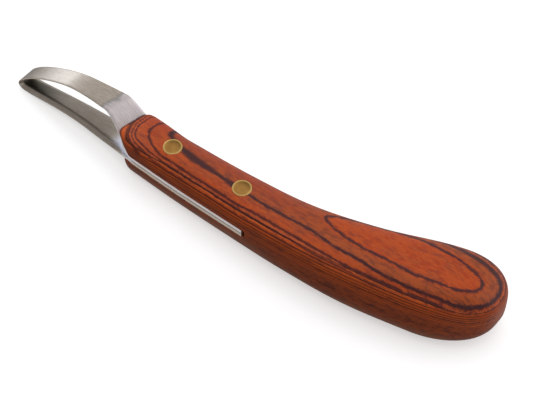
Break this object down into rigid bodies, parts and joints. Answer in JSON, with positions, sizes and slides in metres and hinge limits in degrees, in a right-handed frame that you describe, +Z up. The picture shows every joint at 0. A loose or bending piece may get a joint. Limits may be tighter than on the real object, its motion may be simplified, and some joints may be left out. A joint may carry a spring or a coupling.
{
  "type": "loop knife",
  "caption": "Closed loop knife: a sharpened steel strip bent into a loop, its tangs held by brass rivets in a slot in a curved handle of laminated wood.",
  "frame": {"origin": "middle of the bounding box at its base, on the surface that the knife lies on", "axes": "+X from the loop's tip towards the butt, +Y towards the side that the handle's butt bends to, +Z up from the flat underside"},
  "size_m": [0.1804, 0.0354, 0.0248],
  "materials": {
    "laminated_wood": "glossy, dyed veneers",
    "blade_steel": "fine satin grind",
    "brass": "satin"
  },
  "bodies": {
    "root": {"handle": "laminated_wood", "loop_blade": "blade_steel", "front_rivet_head": "brass", "front_rivet_pin": "brass", "rear_rivet_head": "brass", "rear_rivet_pin": "brass"}
  },
  "joints": []
}
